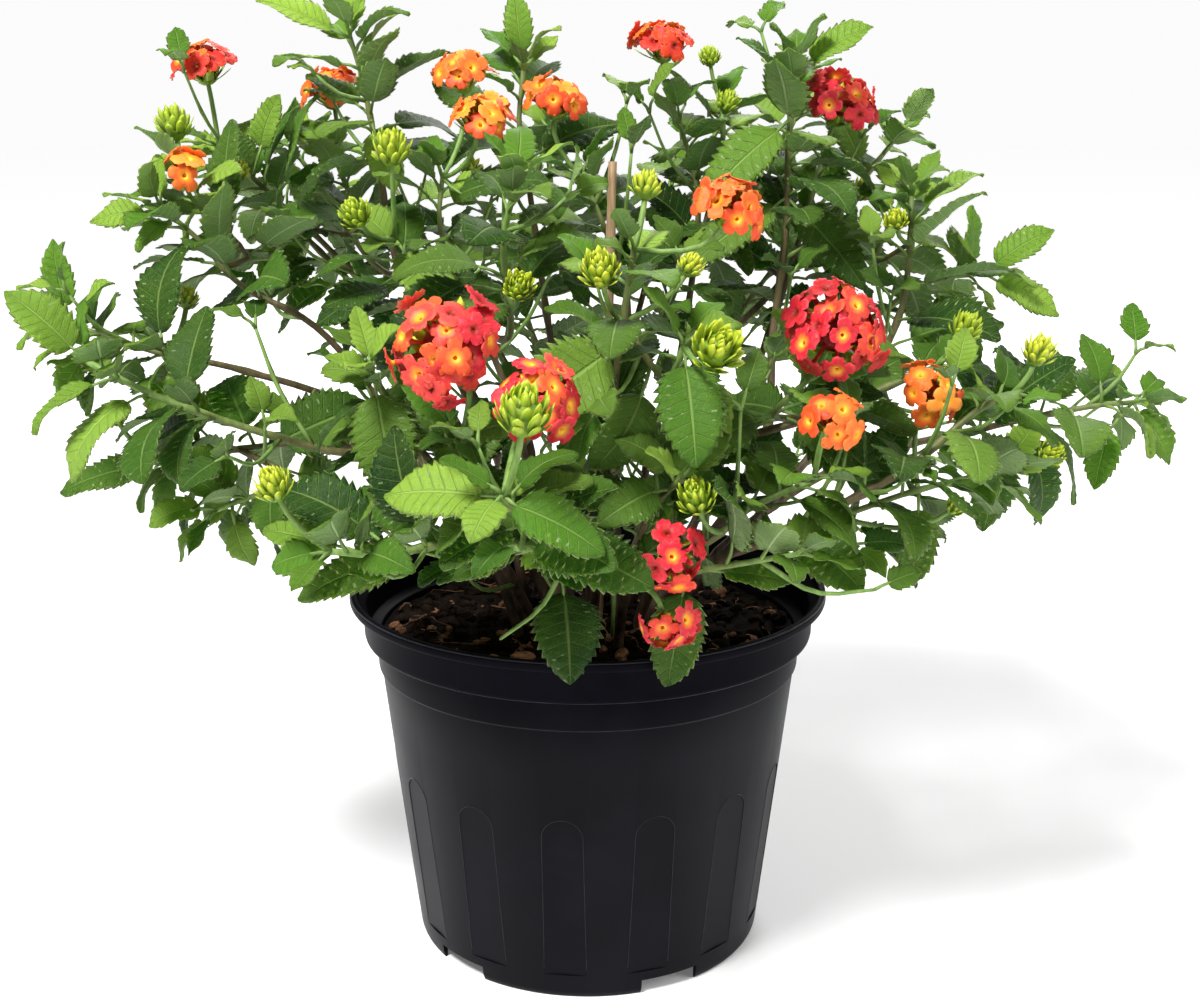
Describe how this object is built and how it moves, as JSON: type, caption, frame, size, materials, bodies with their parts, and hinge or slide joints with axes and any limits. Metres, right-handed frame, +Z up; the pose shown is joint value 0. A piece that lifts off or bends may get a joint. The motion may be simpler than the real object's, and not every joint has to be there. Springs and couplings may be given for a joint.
{
  "type": "potted lantana",
  "caption": "Bushy lantana in bloom, with toothed leaves and red and orange flower heads, in its black nursery pot.",
  "frame": {"origin": "middle of the underside of the pot's foot, on the surface that the pot stands on", "axes": "+Z up, +X to the right of the plant as the picture shows it, -Y towards its viewer"},
  "size_m": [0.4384, 0.3346, 0.3768],
  "materials": {
    "pot": "satin",
    "soil": "rough",
    "bark": "rough",
    "cane": "matte",
    "leaf": "satin",
    "scarlet": "matte",
    "crimson": "matte",
    "salmon": "matte",
    "orange": "matte"
  },
  "bodies": {
    "root": {"bark_chip_1": "bark", "bark_chip_2": "bark", "bark_chip_3": "bark", "bark_chip_4": "bark", "bark_chip_5": "bark", "cane": "cane", "flower_centre_back": "orange", "flower_centre_dome": "orange", "flower_centre_front": "orange", "flower_front_high": "orange", "flower_front_large": "salmon", "flower_front_small": "salmon", "flower_left_high": "scarlet", "flower_left_inner": "orange", "flower_left_tiny": "orange", "flower_low_lower": "crimson", "flower_low_upper": "crimson", "flower_right_high": "crimson", "flower_right_large": "crimson", "flower_right_outer": "orange", "flower_right_young": "orange", "flower_tall": "scarlet", "pot": "pot", "soil": "soil", "stem_back_1": "leaf", "stem_back_2": "leaf", "stem_back_3": "leaf", "stem_back_4": "leaf", "stem_back_5": "leaf", "stem_back_6": "leaf", "stem_centre_left": "leaf", "stem_centre_short": "leaf", "stem_centre_tall": "leaf", "stem_centre_top": "leaf", "stem_front_centre": "leaf", "stem_front_left": "leaf", "stem_front_right": "leaf", "stem_left_front": "leaf", "stem_left_high": "leaf", "stem_left_long": "leaf", "stem_left_low": "leaf", "stem_left_middle": "leaf", "stem_left_top": "leaf", "stem_right_far": "leaf", "stem_right_flower": "leaf", "stem_right_front": "leaf", "stem_right_middle": "leaf", "stem_right_tall": "leaf", "stem_right_upper": "leaf"}
  },
  "joints": []
}
